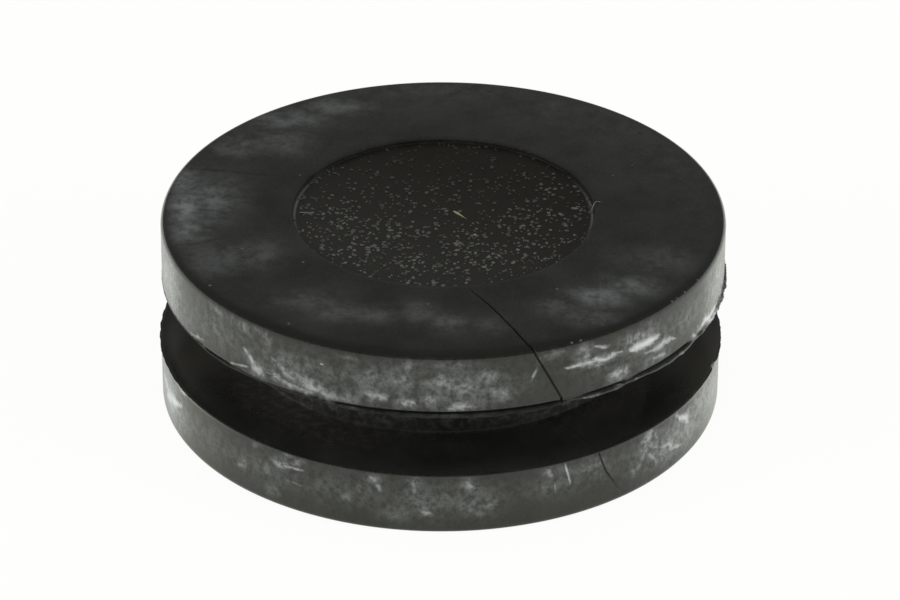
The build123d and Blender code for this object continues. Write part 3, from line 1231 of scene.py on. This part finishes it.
def grey_lint(grain):
    return loose_finish("grey_lint", grain, 5000.0, (0.10, 0.10, 0.095), (0.17, 0.17, 0.16), 0.8, 0.3)


# Pieces

def build_object():
    grain = grain_group()
    rubber = flange_rubber(grain, chalk_group())
    finishes = {"Flange Finish": rubber, "Membrane Finish": membrane_rubber(grain)}
    body = grow("grommet_body", section_mesh(), turned_body, turned_body_inputs | finishes)
    mark_wear_and_painted_light(body.data)
    speck_finish = {"Finish": pale_speck(grain)}
    specks = grow("membrane_specks", fleck_mesh(), speckled_membrane, speck_inputs | speck_finish)
    pale = pale_splinter(grain)
    splinter = chip("membrane_splinter", (0.5, 0.35), (1.2, -0.5), 0.15, 0.08, pale)
    crumb = chip("membrane_crumb", (1.5, -2.0), (1.68, -2.2), 0.12, 0.07, pale)
    grey = grey_lint(grain)
    curled = lint("edge_lint", curled_route, 0.022 * mm, grey)
    straight = lint("membrane_lint", straight_route, 0.026 * mm, grey)
    scuffs = grow("rim_scuffs", fine_scuff_mesh(), fine_scuffs, scuff_inputs | {"Finish": rubber})
    for piece in (body, scuffs, specks, splinter, crumb, curled, straight):
        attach(piece, "root")
    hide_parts("grommet")


# Floor, light and camera

floor_half = 1.5
floor_drop = 0.01 * mm
room_light = 0.14

# Lamps: name, place, size, power
softboxes = [
    ("overhead_softbox", (0.0, -0.05, 0.6), 0.5, 2.4),
    ("left_softbox", (-0.64, -0.22, 0.2), 0.35, 2.9),
    ("right_softbox", (0.64, -0.22, 0.2), 0.35, 2.9),
]


def white_floor():
    """A floor that the camera and reflections see as even white, and that takes only a faint shadow."""
    signs = [(-1, -1), (1, -1), (1, 1), (-1, 1)]
    corners = [(x * floor_half, y * floor_half, -floor_drop) for x, y in signs]
    mesh = new_mesh("floor", corners, faces=[(0, 1, 2, 3)])
    material, w = new_material("white_floor")
    path = w.values("ShaderNodeLightPath")
    reflected = w.math("MAXIMUM", path["Is Glossy Ray"], path["Is Transmission Ray"])
    seen = w.math("MAXIMUM", path["Is Camera Ray"], reflected)
    matt = w.value("ShaderNodeBsdfDiffuse", {"Color": (0.85, 0.85, 0.84, 1)})
    glow = w.value("ShaderNodeEmission", {"Color": (1, 1, 0.99, 1), "Strength": 1.0})
    mirrored = w.value("ShaderNodeEmission", {"Color": (0.98, 1, 0.91, 1), "Strength": 1.0})
    bright = w.value("ShaderNodeMixShader", {"Fac": path["Is Camera Ray"], 1: mirrored, 2: glow})
    both = w.value("ShaderNodeMixShader", {"Fac": seen * 0.95, 1: matt, 2: bright})
    w.node("ShaderNodeOutputMaterial", {"Surface": both})
    mesh.materials.append(material)
    place("floor", mesh)


def studio_world(level):
    world = bpy.data.worlds.new("studio")
    bpy.context.scene.world = world
    w = cleared(world)
    seen = w.values("ShaderNodeLightPath")["Is Camera Ray"]
    sky = w.value("ShaderNodeBackground", {"Color": (1, 1, 0.985, 1), "Strength": w.blend(seen, level, 1.0)})
    w.node("ShaderNodeOutputWorld", {"Surface": sky})


def softbox(name, location, size, power):
    light = bpy.data.lights.new(name, "AREA")
    light.shape = "DISK"
    light.size = size
    light.energy = power
    lamp = bpy.data.objects.new(name, light)
    lamp.visible_glossy = False
    lamp.location = location
    towards = Vector((0, 0, groove_middle)) - lamp.location
    lamp.rotation_euler = towards.to_track_quat("-Z", "Y").to_euler()
    bpy.context.scene.collection.objects.link(lamp)


# Camera of the photograph, in its frame of 900 by 600 pixels
picture_width = 900
picture_height = 600
camera_elevation = math.radians(30.157)
camera_roll = math.radians(0.2423)
camera_distance = 16.813 * flange_radius
pixels_across_radius = 282.68
top_centre_pixel = (442.94, 209.99)


def photograph_camera():
    camera = bpy.data.cameras.new("photograph_camera")
    camera.sensor_fit = "HORIZONTAL"
    camera.sensor_width = 36.0
    focal_pixels = pixels_across_radius * camera_distance / flange_radius
    camera.lens = focal_pixels * camera.sensor_width / picture_width
    camera.clip_start = 0.01
    camera.clip_end = 20.0
    metres_per_pixel = flange_radius / pixels_across_radius
    aside = (picture_width / 2 - top_centre_pixel[0]) * metres_per_pixel
    above = (top_centre_pixel[1] - picture_height / 2) * metres_per_pixel
    top_centre = Matrix.Translation((0, 0, upper_face))
    tilt = Matrix.Rotation(math.pi / 2 - camera_elevation, 4, "X")
    back = Matrix.Translation((aside, above, camera_distance))
    roll = Matrix.Rotation(camera_roll, 4, "Z")
    holder = bpy.data.objects.new("photograph_camera", camera)
    holder.matrix_world = top_centre @ tilt @ back @ roll
    bpy.context.scene.collection.objects.link(holder)
    bpy.context.scene.camera = holder


build_object()
white_floor()
studio_world(room_light)
for lamp in softboxes:
    softbox(*lamp)
photograph_camera()
bpy.context.scene.view_settings.view_transform = "Standard"
